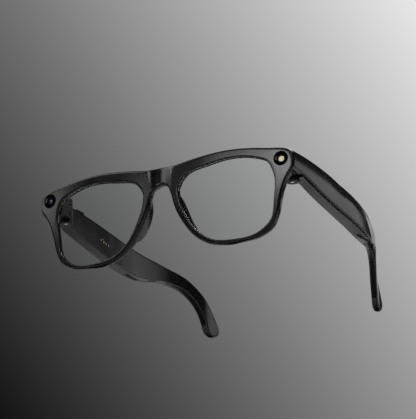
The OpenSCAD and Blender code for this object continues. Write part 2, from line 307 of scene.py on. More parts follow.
def show_mix(tree, weight, first, second, output="Material Output"):
    """Shows two shaders, with as much of the second as weight says."""
    mix = new_node(tree, "MixShader", {"Fac": weight, 1: first.outputs[0], 2: second.outputs[0]})
    feed(tree, tree.nodes[output], {"Surface": mix.outputs["Shader"]})


def moulded(name, low, high, rough, grain=0.05, metallic=0.0, specular=0.5, painted_glow=0.0):
    """Moulded or coated surface: mottled colour, uneven gloss, fine grain, worn edges, and a painted glow in its
    own colour where one is asked for.
    """
    material, tree, shader = new_material(name)
    broad = noise_node(tree, MOTTLE_SCALE, 3.0)
    fine = noise_node(tree, GRAIN_SCALE, 2.0)
    pointed = new_node(tree, "NewGeometry").outputs["Pointiness"]
    worn = [min(1, 2.2 * c + 0.02) for c in high]
    color = new_node(tree, "Mix", {"Factor": map_node(tree, pointed, *WEAR),
                                   "A": color_node(tree, broad, low, high),
                                   "B": (*worn, 1)}, data_type="RGBA").outputs["Result"]
    bump = new_node(tree, "Bump", {"Strength": grain, "Distance": GRAIN_HEIGHT, "Height": fine})
    # Emission: a painted glow in the surface's own colour, as strong as asked
    feed(tree, shader, {"Base Color": color, "Roughness": map_node(tree, broad, *rough),
                        "Normal": bump.outputs["Normal"], "Metallic": metallic,
                        "Specular IOR Level": specular, "Emission Color": color,
                        "Emission Strength": painted_glow})
    return material


def clear_glass(name):
    """Thin clear lens: what is behind shows, with a weak reflection that grows at the rim."""
    material, tree, _ = new_material(name)
    clear = new_node(tree, "BsdfTransparent", {"Color": (0.985, 0.99, 0.995, 1)})
    glossy = new_node(tree, "BsdfGlossy", {"Roughness": 0.03})
    edge = new_node(tree, "LayerWeight", {"Blend": 0.12})
    show_mix(tree, map_node(tree, edge.outputs["Fresnel"], 0.0, 0.14, 0.12, 1.0), clear, glossy)
    return material


# Each material: its darker and its paler colour, the range of its roughness, and what else it has
SURFACES = {
    "frame_plastic": ((0.006, 0.006, 0.0065), (0.009, 0.009, 0.01), (0.15, 0.19), {}),
    "cover_plastic": ((0.006, 0.006, 0.0065), (0.009, 0.009, 0.01), (0.15, 0.19), {}),
    "inner_plastic": ((0.002, 0.002, 0.002), (0.004, 0.004, 0.004), (0.16, 0.2), {}),
    "matte_moulding": ((0.009, 0.009, 0.009), (0.013, 0.013, 0.013), (0.45, 0.55), {"specular": 0.3}),
    "control_plastic": ((0.014, 0.014, 0.015), (0.02, 0.02, 0.022), (0.4, 0.5), {}),
    "dark_ring": ((0.004, 0.004, 0.005), (0.008, 0.008, 0.009), (0.2, 0.28), {}),
    "lens_barrel": ((0.02, 0.04, 0.09), (0.05, 0.09, 0.16), (0.14, 0.2), {"specular": 0.8, "grain": 0.02}),
    # Painted glow: the phosphor shines faintly in its own colour on top of the lamps' light
    "light_phosphor": ((0.82, 0.8, 0.5), (0.94, 0.92, 0.66), (0.4, 0.6), {"painted_glow": 0.4}),
    "circuit_board": ((0.01, 0.09, 0.05), (0.02, 0.15, 0.08), (0.35, 0.5), {}),
    "copper_film": ((0.4, 0.22, 0.07), (0.55, 0.32, 0.12), (0.3, 0.45), {}),
    "battery_foil": ((0.5, 0.5, 0.52), (0.62, 0.62, 0.64), (0.25, 0.4), {"metallic": 1.0}),
    "speaker_body": ((0.03, 0.03, 0.03), (0.05, 0.05, 0.05), (0.5, 0.6), {}),
    "hinge_metal": ((0.008, 0.008, 0.009), (0.014, 0.014, 0.015), (0.4, 0.5), {"specular": 0.4}),
    "steel": ((0.55, 0.55, 0.57), (0.7, 0.7, 0.72), (0.18, 0.3), {"metallic": 1.0}),
    "metal_mesh": ((0.02, 0.02, 0.02), (0.05, 0.05, 0.05), (0.4, 0.5), {"metallic": 0.5}),
    "gold_plate": ((0.75, 0.55, 0.26), (0.9, 0.7, 0.4), (0.18, 0.3), {"metallic": 1.0}),
    "soft_rubber": ((0.0015, 0.0015, 0.0015), (0.003, 0.003, 0.003), (0.3, 0.4), {"specular": 0.1}),
    "black_glass": ((0.002, 0.002, 0.003), (0.004, 0.004, 0.005), (0.04, 0.08),
                    {"specular": 0.12, "grain": 0.0}),
}
LOOKS = {name: moulded(name, low, high, rough, **other)
         for name, (low, high, rough, other) in SURFACES.items()}
LOOKS["clear_lens"] = clear_glass("clear_lens")

# --- Front ---

# The front is a plate bent to WRAP_R, whose face stands CROWN further back at its lower edge
WRAP_R = 525.0
FRONT_T = 3.6
CROWN = 0.45
MIDDLE_Z = 24.4
# Its ends meet the temples in one plane
SEAM_Y = 6.3
SEAM_X = 70.3
# The rounding of the lens openings
LIP = 0.6

# The lens opening of the wearer's left side, clockwise from the nose: [x, z]
OPENING = [
    [10.2, 34], [14.4, 39.8], [26.5, 43.2], [38.5, 44.8], [51.5, 43.2], [58.8, 39.8],
    [62, 33], [61.7, 20], [59.5, 9.5], [52.5, 3.8], [39.6, 2], [27.3, 4],
    [20, 9.5], [14.2, 18.5], [10.6, 28],
]
# The outer edge from the top of the bridge's crease round to its foot
OUTLINE = [
    [7.8, 45.9], [13.5, 47], [24, 48.5], [36, 49.4], [50, 48.6], [60, 47.1], [67.5, 46],
    [70.5, 45], [72.1, 43.2], [72.9, 40.2], [73, 37.6], [72.3, 35.1], [70.8, 32.9],
    [69.2, 30.6], [67.1, 26.2], [65.4, 20.5], [63.6, 12.5], [60.2, 5.6], [53.4, 1.6],
    [44, 0.2], [34.5, 0], [25.5, 2], [18, 7.1], [12, 15], [7.9, 23], [5.5, 32.3],
]
ARCH = [[5.5, 32.3], [3.9, 35.2], [2.2, 36.6], [0, 37.1]]
BRIDGE_TOP = [[7.8, 45.9], [4, 46.6], [0, 46.9]]
# For places along the outline, the place along the opening that each one faces
FACING = [(0, 0.75), (3, 2.8), (5, 4.6), (7, 5.2), (12, 6.1), (15, 7), (18, 8.95), (20, 10.4),
          (23, 13.3), (25, 14.7)]
# How far the front edge is rounded, and the back edge, by place along the outline
FRONT_ROUND = [(0, 0.5), (1, 0.8), (5.5, 0.8), (7, 0.9), (8.5, 0.9), (11, 0.9), (13, 0.9), (15, 1.0),
               (21, 1.0), (22.5, 1.5), (24, 1.7), (25, 1.2)]
BACK_ROUND = [(0, 0.55), (6.4, 0.55), (7, 0.15), (12.4, 0.15), (13, 0.55), (25, 0.55)]
# The bridge is hollowed by a cone that stands HOLLOW_AXIS in front of it
HOLLOW_R = 11.9
HOLLOW_CONE = 0.095
HOLLOW_AXIS = 11
# The lens groove, as [depth, how far it is cut outward]
GROOVE = ((0.95, 0.0), (1.1, 0.3), (2.75, 0.3), (2.9, 0.0))
PER_POINT = 8
CREASE_STEPS = 12
BRIDGE_STEPS = 20
FACE_STEPS = 8
ROUND_STEPS = 5


def wrap(x):
    """How far the bent plate lies behind its middle."""
    return WRAP_R - np.sqrt(WRAP_R ** 2 - np.asarray(x) ** 2)


def front_y(q):
    """The front face at flat points [x, z]."""
    return wrap(q[..., 0]) + CROWN * ((q[..., 1] - MIDDLE_Z) / MIDDLE_Z) ** 2


def back_y(q):
    """The back face at flat points [x, z]."""
    y = wrap(q[..., 0]) + FRONT_T
    return np.where(np.abs(q[..., 0]) > SEAM_X, np.minimum(y, SEAM_Y), y)


def bridge_depth(q):
    """How far the hollow of the bridge lies behind the wrap curve."""
    radius = HOLLOW_R + (q[..., 1] - 30) * HOLLOW_CONE
    half = np.maximum(radius ** 2 - q[..., 0] ** 2, 0)
    return np.maximum(np.sqrt(half) - HOLLOW_AXIS, 0)


def layer(flat, depth):
    """Points [x, z] at a depth as [x, y, z]."""
    return np.stack([flat[..., 0], depth, flat[..., 1]], axis=-1)


def edge_strip(outline, inward, size_front, size_back, front, back):
    """The rounded edge of the plate along an outline: from its front face round to its back."""
    rows = []
    for size, face, behind in ((size_front, front, 1), (size_back, back, -1)):
        size = np.asarray(size)
        for inset, rise in quarter(ROUND_STEPS)[::behind]:
            flat = outline + inward * size[..., None] * inset
            rows.append(layer(flat, face(flat) + behind * size * rise))
    return np.array(rows)


def face_rows(start, end, steps):
    """Flat rows of points that lead from one line to another."""
    u = np.linspace(0, 1, steps + 1)[:, None, None]
    return start[None] * (1 - u) + end[None] * u


def front_frame():
    """Both rims and the bridge between them, with the seats of the camera and the light."""
    shell = Shell()
    stops = np.arange(0, (len(OUTLINE) - 1) * PER_POINT + 1) / PER_POINT
    outline = curve(OUTLINE, stops)
    outer_in = -side_of(outline)
    crease = np.array(OUTLINE[0]) - np.array(OUTLINE[-1])
    crease = crease / np.linalg.norm(crease)
    outer_in[0], outer_in[-1] = -crease, crease
    round_front = read(FRONT_ROUND, stops)
    round_back = read(BACK_ROUND, stops)
    foot, head = outline[-1] + crease * round_front[-1], outline[0] - crease * round_front[0]
    ladder = foot + (head - foot) * np.linspace(0, 1, CREASE_STEPS + 1)[:, None]
    facing = read(FACING, stops)
    count = len(OPENING)
    beside_crease = np.linspace(facing[-1], facing[0] + count, CREASE_STEPS + 1)[1:-1]
    beside = np.concatenate([facing, beside_crease])
    hole = curve(OPENING, beside, closed=True)
    full = np.linspace(0, count, 16 * count, endpoint=False)
    full_out = side_of(curve(OPENING, full, closed=True), closed=True)
    hole_out = np.stack([np.interp(beside % count, full, part, period=count) for part in full_out.T],
                        axis=1)
    inner = hole + hole_out * LIP
    inner = np.concatenate([inner, inner[:1]])
    patches = []
    for size, depth in ((round_front, front_y), (round_back, back_y)):
        outer = np.concatenate([outline + outer_in * size[:, None], ladder[1:-1]])
        outer = np.concatenate([outer, outer[:1]])
        faces = face_rows(inner, outer, FACE_STEPS)
        patches.append(layer(faces, depth(faces)))
    patches.append(edge_strip(outline, outer_in, round_front, round_back, front_y, back_y))
    patches.append(opening_wall(np.concatenate([hole, hole[:1]]),
                                np.concatenate([hole_out, hole_out[:1]])))
    for side in (1, -1):
        for patch in patches:
            shell.patch(patch * [side, 1, 1])
    bridge(shell, ladder, crease, round_front[[-1, 0]], round_back[[-1, 0]])
    shell.build("front_rims_and_bridge", "frame_plastic", "front", "front_frame", 24,
                [eye_hole(1), eye_hole(-1)])


def opening_wall(hole, outward):
    """The wall of a lens opening, with its rounded lips and the groove that holds the lens."""
    lips = edge_strip(hole, outward, LIP, LIP, front_y, back_y)
    groove = []
    for depth, outer in GROOVE:
        flat = hole + outward * outer
        groove.append(layer(flat, wrap(flat[:, 0]) + depth + CROWN * 0.3))
    return np.concatenate([lips[:ROUND_STEPS + 1], groove, lips[ROUND_STEPS + 1:]])


def bridge(shell, ladder, crease, front_sizes, back_sizes):
    """The hollow bridge between the two creases. The ladder's points lie along a crease."""
    across = np.linspace(-1, 1, 2 * BRIDGE_STEPS + 1)
    edges = []
    for ends, toward in ((ARCH, crease), (BRIDGE_TOP, -crease)):
        half = curve(ends, (1 - np.abs(across)) * (len(ends) - 1))
        line = half * np.stack([np.sign(across), np.ones_like(across)], axis=1)
        turn = np.stack([np.abs(across) ** 2 * toward[0] * np.sign(across),
                         np.full_like(across, toward[1])], axis=1)
        edges.append((line, turn / np.linalg.norm(turn, axis=1)[:, None]))

    def hollow(flat):
        return front_y(flat) + bridge_depth(flat) * ramp(1 - np.abs(across), 0, 0.02)

    (low, low_in), (high, high_in) = edges
    for (line, inward), size_front, size_back in zip(edges, front_sizes, back_sizes):
        shell.patch(edge_strip(line, inward, size_front, size_back, hollow, back_y))
    share = (ladder[:, 1] - ladder[0, 1]) / (ladder[-1, 1] - ladder[0, 1])
    for sizes, depth in ((front_sizes, hollow), (back_sizes, back_y)):
        start, end = low + low_in * sizes[0], high + high_in * sizes[1]
        faces = start[None] * (1 - share[:, None, None]) + end[None] * share[:, None, None]
        shell.patch(layer(faces, np.array([depth(row) for row in faces])))


# --- Lenses, pads and brow cover ---


LENS_MIDDLE = np.array([37.0, 24.0])
LENS_FRONT, LENS_BACK = 1.15, 2.85
LENS_BEVEL = 0.15
INTO_GROOVE = 0.28


def lens(side, name):
    """A thin curved lens whose edge sits in the groove of its rim."""
    rim = curve(OPENING, np.arange(len(OPENING) * PER_POINT) / PER_POINT, closed=True)
    rim = rim + side_of(rim, closed=True) * INTO_GROOVE
    shares = np.concatenate([np.linspace(0.02, 1, 18) * 0.985, [1.0]])
    flats = [LENS_MIDDLE + (rim - LENS_MIDDLE) * share for share in shares]
    front, back = [], []
    for flat, share in zip(flats, shares):
        bevel = LENS_BEVEL if share == 1.0 else 0
        front.append(layer(flat, wrap(flat[:, 0]) + LENS_FRONT + bevel))
        back.append(layer(flat, wrap(flat[:, 0]) + LENS_BACK - bevel))
    shell = Shell().loft(np.array(front + back[::-1]))
    shell.mirrored(side).build(name + "_lens", "clear_lens", "front", name + "_lens")


PAD_NOSE = [[6.6, 30.5], [8, 25.5], [10.6, 18.8], [14.2, 12.6], [17.4, 9.3]]
PAD_LENS = [[8.6, 32], [11.0, 28], [13.2, 22.5], [15.6, 16.4], [18.6, 11.4]]
PAD_DEPTH = 6.4
PAD_ROUND = 1.0
# How far a pad reaches into the rim, and how much its two sides lean at full depth
PAD_SEAT = 1.0
PAD_LEAN = np.array([0.4, 1.5])
PAD_STEPS = 41


def nose_pad(side, name):
    """A pad that grows out of the back of the nasal rim and rests on the nose."""
    share = np.linspace(0, 1, PAD_STEPS)
    nose, lensward = curve(PAD_NOSE, share * 4), curve(PAD_LENS, share * 4)
    reach = PAD_DEPTH * np.maximum(np.sin(math.pi * np.clip(share, 0.004, 0.996)), 0) ** 0.55
    start = FRONT_T - PAD_SEAT
    rings = []
    for here, there, deep in zip(nose, lensward, reach):
        width = np.linalg.norm(there - here)
        across = (there - here) / width
        small = min(PAD_ROUND, deep * 0.45, width * 0.49)
        flare, taper = PAD_LEAN * (deep / PAD_DEPTH) ** 2
        taper = min(taper, width - flare - 2 * small)
        rise = deep + PAD_SEAT - small
        ring = []
        for u in np.linspace(0, 1, 9):
            ring.append((flare * u * u, rise * u))
        for a in np.linspace(0, math.pi, 13)[1:-1]:
            sideways = (flare + small * (1 - math.cos(a)) if a < math.pi / 2 else
                        width - taper - small * (1 + math.cos(a)))
            ring.append((sideways, rise + small * math.sin(a)))
        for u in np.linspace(1, 0, 9):
            ring.append((width - taper * ramp(u, 0.25, 1.1), rise * u))
        flat = [(here + across * sideways, depth) for sideways, depth in ring]
        rings.append([[q[0], wrap(q[0]) + start + depth, q[1]] for q, depth in flat])
    Shell().loft(rings).mirrored(side).build(name + "_nose_pad", "frame_plastic", "front",
                                             name + "_nose_pad", 40)


BROW_HALF = 58.0
BROW_T = 4.9
BROW_GAP = 0.7
BROW_ROUND = 0.55
# The lower edge over the bridge, as (x, z), up to where the rims take over
BROW_ARCH = [(0, 37.7), (2.2, 37.2), (4, 36), (5.4, 35), (9.4, 35)]
# The bulge that clears the hollow of the bridge, and the microphone's hole
BULGE_R, BULGE_AXIS = 9.3, 3
MIC_HOLE = (14, 5.1, 42.2)


def brow_cover():
    """The cover over the cable, behind the top bar and the bridge."""
    across = np.linspace(-1, 1, 161)
    x = BROW_HALF * np.sign(across) * np.abs(across) ** 1.15
    far = np.abs(x)
    top_line = curve(OUTLINE, np.linspace(0, len(OUTLINE) - 1, 900))[:215]
    outer = np.concatenate([curve(BRIDGE_TOP, np.linspace(2, 0, 30)), top_line])
    top = np.interp(far, outer[:, 0], outer[:, 1]) - BROW_GAP
    hole = curve(OPENING, np.linspace(0, 5, 300), closed=True)
    over_rim = np.interp(far, hole[:, 0] - 0.5, hole[:, 1]) + BROW_GAP
    low = np.where(far < BROW_ARCH[-1][0], read(BROW_ARCH, far), over_rim)
    shrink = np.minimum(1, (BROW_HALF - far) / 0.8 + 0.35)
    rings = []
    for k in range(len(x)):
        bulge = max(0.0, math.sqrt(max(BULGE_R ** 2 - x[k] ** 2, 0)) - BULGE_AXIS - BROW_T)
        y0 = float(wrap(x[k])) + FRONT_T - 0.3
        y1 = float(wrap(x[k])) + BROW_T + bulge - 0.5 * (1 - shrink[k])
        small = BROW_ROUND * shrink[k]
        turns = quarter(4)
        ring = [[x[k], y0, low[k]]]
        ring += [[x[k], y1 - small * back, low[k] + small * up] for back, up in turns]
        for u in np.linspace(0, 1, 7)[1:-1]:
            ring.append([x[k], y1, low[k] + small + (top[k] - low[k] - 2 * small) * u])
        ring += [[x[k], y1 - small * back, top[k] - small * up] for back, up in turns[::-1]]
        ring.append([x[k], y0, top[k]])
        rings.append(ring)
    hole = Shell().turn([[1.0, -3], [1.0, 3]], Matrix.Translation(MIC_HOLE) @ BACKWARD, 32)
    Shell().loft(rings).build("brow_cover_moulding", "frame_plastic", "front", "brow_cover", 35,
                              [hole])


# --- Camera and light ---

BACKWARD = Matrix.Rotation(math.radians(-90), 4, "X")
# Middle of the light and of the camera, as (x, z) from the middle of the front
EYES = {1: (66.2, 40.5), -1: (67.2, 40.9)}
GLASS_R = 3.5
RING_R = 3.88
BARREL_R = 1.79
EMITTER_R = 1.4
SEAT_R = 1.41
DOME_STEPS = 9


def eye_place(side):
    """A place on the front surface whose z axis points straight into the eye."""
    x, z = EYES[side]
    turn = Matrix.Rotation(side * math.asin(x / WRAP_R), 4, "Z")
    depth = float(front_y(np.array([x, z])))
    return Matrix.Translation((side * x, depth, z)) @ turn @ BACKWARD


def eye_hole(side):
    """The hole in the front that a ring sits in."""
    return Shell().turn([[RING_R, -2], [RING_R, 9]], eye_place(side), 64)


def eye(name, side):
    """A bevelled ring and the black cover glass with its round window."""
    place = eye_place(side)
    ring = [[RING_R - 0.02, 2.3], [RING_R - 0.02, 0.2], [RING_R - 0.05, 0.08], [RING_R - 0.12, 0.04],
            [RING_R - 0.18, 0.1], [GLASS_R + 0.12, 0.42], [GLASS_R + 0.02, 0.6], [GLASS_R + 0.02, 1.3],
            [GLASS_R - 0.4, 1.32], [GLASS_R - 0.4, 2.3]]
    Shell().turn(ring + ring[:1], place, 72).build(
        name + "_ring_bezel", "dark_ring", "front", name + "_ring")
    dome = []
    for r in np.linspace(GLASS_R - 0.2, 2.05, 12):
        dome.append([r, 0.12 + 0.2 * (r / GLASS_R) ** 2])
    glass = [[GLASS_R, 1.25], [GLASS_R, 0.5], [GLASS_R - 0.06, 0.4]] + dome
    glass += [[2.0, 0.1], [1.94, 0.08], [1.88, 0.12], [1.83, 0.25], [1.8, 0.5], [1.8, 1.25]]
    Shell().turn(glass + glass[:1], place, 72).build(
        name + "_cover_glass", "black_glass", "front", name + "_glass")


def domed(radius, height, sag, base):
    """Profile of a disc with a domed front at height, which reaches back to base."""
    rows = [[0.001, base], [radius, base], [radius, height + sag]]
    for k in range(1, DOME_STEPS + 1):
        u = 1 - k / DOME_STEPS
        rows.append([max(radius * u, 0.001), height + sag * u * u])
    return rows


def camera_and_light():
    """The camera on the wearer's right and the light on the left, behind their glasses."""
    eye("camera", -1)
    eye("light", 1)
    Shell().turn(domed(BARREL_R, 0.5, 0.75, 6.4), eye_place(-1), 56).build(
        "camera_lens_barrel", "lens_barrel", "front", "camera_barrel", 50)
    Shell().turn(domed(EMITTER_R, 0.75, 0.25, 2.6), eye_place(1), 48).build(
        "light_emitter_dome", "light_phosphor", "front", "light_emitter", 50)
    seat = [[BARREL_R, 2.6], [BARREL_R, 1.1], [SEAT_R, 1.1], [SEAT_R, 2.6]]
    Shell().turn(seat + seat[:1], eye_place(1), 48).build("light_emitter_seat", "dark_ring", "front")


# --- Hinges ---

# Sizes of the hinge: the two outer knuckles belong to the front, the middle one to the temple
KNUCKLE_R = 3.5
PIN_R = 0.9
KNUCKLE_LOW, KNUCKLE_HIGH = 31.8, 45.4
ARM_LOW, ARM_HIGH = 35.4, 41.3
BLOCK_LOW, BLOCK_HIGH = 34.2, 44.8
BLOCK_BACK = PIN_Y - KNUCKLE_R - 0.3
LEAF_IN, LEAF_OUT = 68.3, 69.9
PLAY = 0.2
HINGE_PLACE = Matrix.Translation((PIN_X, PIN_Y, 0))


def knuckle(shell, low, high, round_edge=0.45):
    """A ring of the hinge with rounded rims and a bore for the pin."""
    turns = [(KNUCKLE_R - round_edge * inset, round_edge * rise) for inset, rise in quarter(4)]
    profile = [[PIN_R + 0.05, low + 0.25], [PIN_R + 0.3, low]]
    profile += [[radius, low + up] for radius, up in turns]
    profile += [[radius, high - up] for radius, up in turns[::-1]]
    profile += [[PIN_R + 0.3, high], [PIN_R + 0.05, high - 0.25]]
    shell.turn(profile + profile[:1], HINGE_PLACE, 56)


def box_plan(corners, round_corner):
    return rounded(corners, [round_corner] * len(corners), [4] * len(corners), 4)


def box_corners(x0, x1, y0, y1):
    return [[x0, y0], [x1, y0], [x1, y1], [x0, y1]]


def hinge(side, name):
    """The block with two knuckles on the front, the pin, and the arm fixed to the temple."""
    front_edge = [[x, float(wrap(x)) + FRONT_T - 0.4] for x in (70.0, 65.5, 61.2)]
    block = box_plan([[61.6, BLOCK_BACK], [70.2, BLOCK_BACK]] + front_edge, 0.35)
    web = box_plan(box_corners(PIN_X - KNUCKLE_R, 66.7, BLOCK_BACK - 2, PIN_Y - 0.2), 0.1)
    shell = Shell().prism(block, BLOCK_LOW, BLOCK_HIGH, 0.4)
    knuckle(shell, KNUCKLE_LOW, ARM_LOW - PLAY)
    knuckle(shell, ARM_HIGH + PLAY, KNUCKLE_HIGH)
    shell.prism(web, BLOCK_LOW - 0.2, ARM_LOW - PLAY, 0.15)
    shell.prism(web, ARM_HIGH + PLAY, KNUCKLE_HIGH, 0.4)
    shell.mirrored(side).build(name + "_hinge_block_moulding", "inner_plastic", "front",
                               name + "_hinge_block", 32, finish="matte_moulding")
    pin = [[0.001, 31.62], [0.4, 31.66], [0.7, 31.78], [PIN_R - 0.03, 32.0], [PIN_R - 0.03, 44.4],
           [0.6, 44.6], [0.001, 44.6]]
    Shell().turn(pin, HINGE_PLACE, 40).mirrored(side).build(
        name + "_hinge_pin_turned", "steel", "front", name + "_hinge_pin", 40)
    arm = Shell()
    knuckle(arm, ARM_LOW, ARM_HIGH)
    leaf = box_plan(box_corners(LEAF_IN, LEAF_OUT, PIN_Y - 1.5, PIN_Y + 15), 0.3)
    arm.prism(leaf, ARM_LOW, ARM_HIGH, 0.2)
    arm.mirrored(side).build(name + "_hinge_arm_moulding", "hinge_metal", name + "_temple",
                             name + "_hinge_arm", 32)


# --- Temples ---

# Side view of a temple as [y, z]: along the top, round the tip and back along the bottom
SIDE_VIEW = [
    [6.5, 44.4], [20, 44.3], [37, 43.7], [60, 42.1], [81.5, 39.7], [102, 37], [122, 34],
    [140, 29.2], [150, 22.2], [157, 14.8], [161.8, 8.6],
    [164, 4.4], [162.3, 1.2], [159, 0], [155.5, 0.2], [153, 2],
    [151.4, 6], [149, 11.4], [144.5, 17.6], [137, 22.8], [128, 25], [119.5, 25.2],
    [110, 23.8], [100.5, 23], [80, 24.5], [58, 26.9], [36, 29.9], [19, 33], [6.5, 34.4],
]
# Plan of the outer and the inner side as [x, y]
OUTER_PLAN = [
    [72.8, 6.5], [73.6, 20], [74.3, 50], [74.5, 78], [72.4, 102], [66.8, 122],
    [59.3, 140], [54.1, 153], [52.2, 164],
]
INNER_X = 67.0
INNER_BEND = [[INNER_X, 68], [INNER_X - 0.4, 84], [65.2, 102], [60.8, 122], [54.9, 140],
              [50.2, 153], [48.6, 164]]
INNER_T = 1.7
# Places along the side view that face each other across the temple, and the ribs between them
ACROSS = [(0, 28, 9), (1, 27, 9), (2, 26, 10), (3, 25, 11), (4, 24, 14), (5, 23, 14), (6, 21, 14),
          (7, 19.2, 10), (8, 18, 8), (9, 16.9, 7), (10, 15.6, 5), (11, 14.6, 4), (12, 13.6, 4),
          (12.75, 12.95, 1)]
# Places along the side view between which the lower edge runs
UNDER_START, UNDER_END = 28, 21
# The floor between the covers
FOOT_FROM, FOOT_TO = 17.2, 108.0
FOOT_T = 1.0
FOOT_INSET = 1.3
# Upper edge of the light facet on the outer side, as (y, z), and how softly it turns
CREASE = [(38, 36.6), (50, 36.2), (66.8, 35.9), (75.5, 34.5), (87.5, 31.9), (97, 28.9), (104, 24.8),
          (112, 17)]
CREASE_SOFT = [(40, 2.6), (72, 0.25)]
CREASE_LEAN = 0.15
CREASE_SWELL = 0.35
# Middle height of the outer side along the temple, and how much it is crowned there
CROWN_MIDDLE = [(6, 39.6), (60, 34.8), (100, 30), (130, 27)]
CROWN_DEPTH = [(6, 0.35), (60, 0.3), (100, 0.12), (130, 0.1)]
# Rounding of the covers' upper and lower edges along the temple
OUTER_ROUND_TOP = [(6.5, 1.6), (14, 1.2), (30, 1.0), (150, 1.2), (160, 1.6)]
INNER_ROUND_TOP = [(140, 0.8), (160, 1.3)]
ROUND_LOW = [(125, 0.3), (135, 0.5), (152, 0.6), (160, 1.2)]
# Where the covers begin, and the seam in front of the inner cover
OUTER_FROM, INNER_FROM = 6.5, 21.3
HINGE_SEAM_X = 70.55
BEVEL = 0.12
FRONT_BEVEL = 0.08
MIDDLE_COLUMN = 15


def outer_x(y, z):
    """The outer side: crowned in front, and sculpted by a falling crease behind."""
    plan = curve(OUTER_PLAN, np.linspace(0, 8, 400))
    x = np.interp(y, plan[:, 1], plan[:, 0])
    crown = read(CROWN_DEPTH, y) * ((z - read(CROWN_MIDDLE, y)) / 5.5) ** 2
    x = x - crown * (1 - ramp(y, 118, 135))
    over = z - read(CREASE, y)
    soft = read(CREASE_SOFT, y)
    lean = CREASE_LEAN * ramp(y, 46, 66) * (1 - ramp(y, 108, 128))
    swell = CREASE_SWELL * ramp(y, 60, 85) * (1 - ramp(y, 100, 122))
    return x - lean * soft * np.log1p(np.exp(np.clip(over / soft, -30, 30))) + swell


def inner_x(y):
    """The inner side, straight in front and bent inward behind."""
    bend = np.concatenate([[[INNER_X, 0.0]], curve(INNER_BEND, np.linspace(0, 6, 300))])
    return np.interp(y, bend[:, 1], bend[:, 0])


def knuckle_edge(y):
    """Where the room for the hinge knuckle ends, sideways."""
    return PIN_X + np.sqrt(np.maximum((KNUCKLE_R + 0.35) ** 2 - (np.asarray(y) - PIN_Y) ** 2, 0))


def underside(y, end=UNDER_END, steps=500):
    """Height of the temple's lower edge at y."""
    line = curve(SIDE_VIEW, np.linspace(UNDER_START, end, steps))
    return np.interp(y, line[:, 0], line[:, 1])


def ribs(from_y):
    """Pairs of facing points [y, z] along a temple from from_y on: (top, bottom)."""
    top, bottom = [], []
    for (a, b, count), (a2, b2, _) in zip(ACROSS, ACROSS[1:]):
        u = np.arange(count) / count
        top += list(a + (a2 - a) * u)
        bottom += list(b + (b2 - b) * u)
    top = curve(SIDE_VIEW, top + [ACROSS[-1][0]])
    bottom = curve(SIDE_VIEW, bottom + [ACROSS[-1][1]])
    keep = (top[:, 0] + bottom[:, 0]) / 2 > from_y + 0.4
    keep |= np.arange(len(keep)) > 60
    head = np.array([from_y, read(SIDE_VIEW[:3], from_y)])
    foot = np.array([from_y, underside(from_y, 24, 300)])
    return np.vstack([head, top[keep]]), np.vstack([foot, bottom[keep]])


def rounding(points, line, radii):
    """How much a face steps back at points, where its border is rounded by the line's radii."""
    start, along = line[:-1], line[1:] - line[:-1]
    rel = points[:, None, :] - start[None]
    u = np.clip((rel * along).sum(-1) / np.maximum((along * along).sum(-1), 1e-12), 0, 1)
    gap = np.linalg.norm(rel - along * u[..., None], axis=-1)
    nearest = gap.argmin(axis=1)
    pick = np.arange(len(points))
    share = u[pick, nearest]
    radius = radii[nearest] * (1 - share) + radii[nearest + 1] * share
    short = np.clip(radius - gap[pick, nearest], 0, radius)
    return radius - np.sqrt(np.maximum(radius ** 2 - short ** 2, 0))


NEAR_EDGE = np.array([0, 0.04, 0.12, 0.25, 0.42, 0.65, 0.95, 1.3, 1.7])


def heights(length):
    """Distances from the bottom at which a rib of that length gets points."""
    near = NEAR_EDGE * min(1.0, 0.4 * length / NEAR_EDGE[-1])
    middle = np.linspace(near[-1], length - near[-1], 14)[1:-1]
    return np.concatenate([near, middle, (length - near)[::-1]])


def side_face(top, bottom, face_x, radii_top, radii_bottom, sign):
    """The rounded side of a cover as rows of points [x, y, z], one row per rib, bottom first."""
    line = np.vstack([top, bottom[::-1]])
    radii = np.concatenate([radii_top, radii_bottom[::-1]])
    rows = []
    for t, b in zip(top, bottom):
        length = max(np.linalg.norm(t - b), 1e-6)
        q = b + (t - b) / length * heights(length)[:, None]
        x = face_x(q[:, 0], q[:, 1]) - sign * rounding(q, line, radii)
        rows.append(np.c_[x, q])
    return np.array(rows)


def cover_rings(face, seam_x, bevel):
    """Closes a cover: from the side face over the top, down the seam plane and along the bottom."""
    top, bottom = face[:, -1], face[:, 0]

    def at(base, x, toward, amount):
        point = base.copy()
        point[:, 0] = x
        gap = toward - base
        reach = np.linalg.norm(gap, axis=1)[:, None]
        point[:, 1:] += (gap / np.maximum(reach, 1e-6) * np.minimum(amount, 0.3 * reach))[:, 1:]
        return point

    sign = np.sign(top[:, 0] - seam_x)
    over = at(top, seam_x + sign * bevel, bottom, 0.0)
    corner_top = at(top, seam_x, bottom, bevel)
    corner_low = at(bottom, seam_x, top, bevel)
    under = at(bottom, seam_x + sign * bevel, top, 0.0)
    loops = [face[:, k] for k in range(face.shape[1])]
    for u in (0.33, 0.67):
        loops.append(top * (1 - u) + over * u)
    loops += [over, corner_top, corner_low, under]
    for u in (0.33, 0.67):
        loops.append(under * (1 - u) + bottom * u)
    return np.stack(loops, axis=1)


def end_bevel(top, bottom, size):
    """A first rib which is smaller by the bevel, in front of the others."""
    along = top[0] - bottom[0]
    along = along / np.linalg.norm(along)
    first_top, first_low = top[0] - along * size, bottom[0] + along * size
    step = np.array([size, 0])
    return (np.vstack([first_top, top[:1] + step, top[1:]]),
            np.vstack([first_low, bottom[:1] + step, bottom[1:]]))


def cover(side, name, part, slot, rings, cutters, floor=None):
    """Skins a cover's rings, with the floor if it has one."""
    shell = Shell().loft(rings)
    if floor is not None:
        shell.loft(floor)
    shell.mirrored(side).build(name + part + "_moulding", slot, name + "_temple", name + part, 26,
                               cutters, floor is not None)


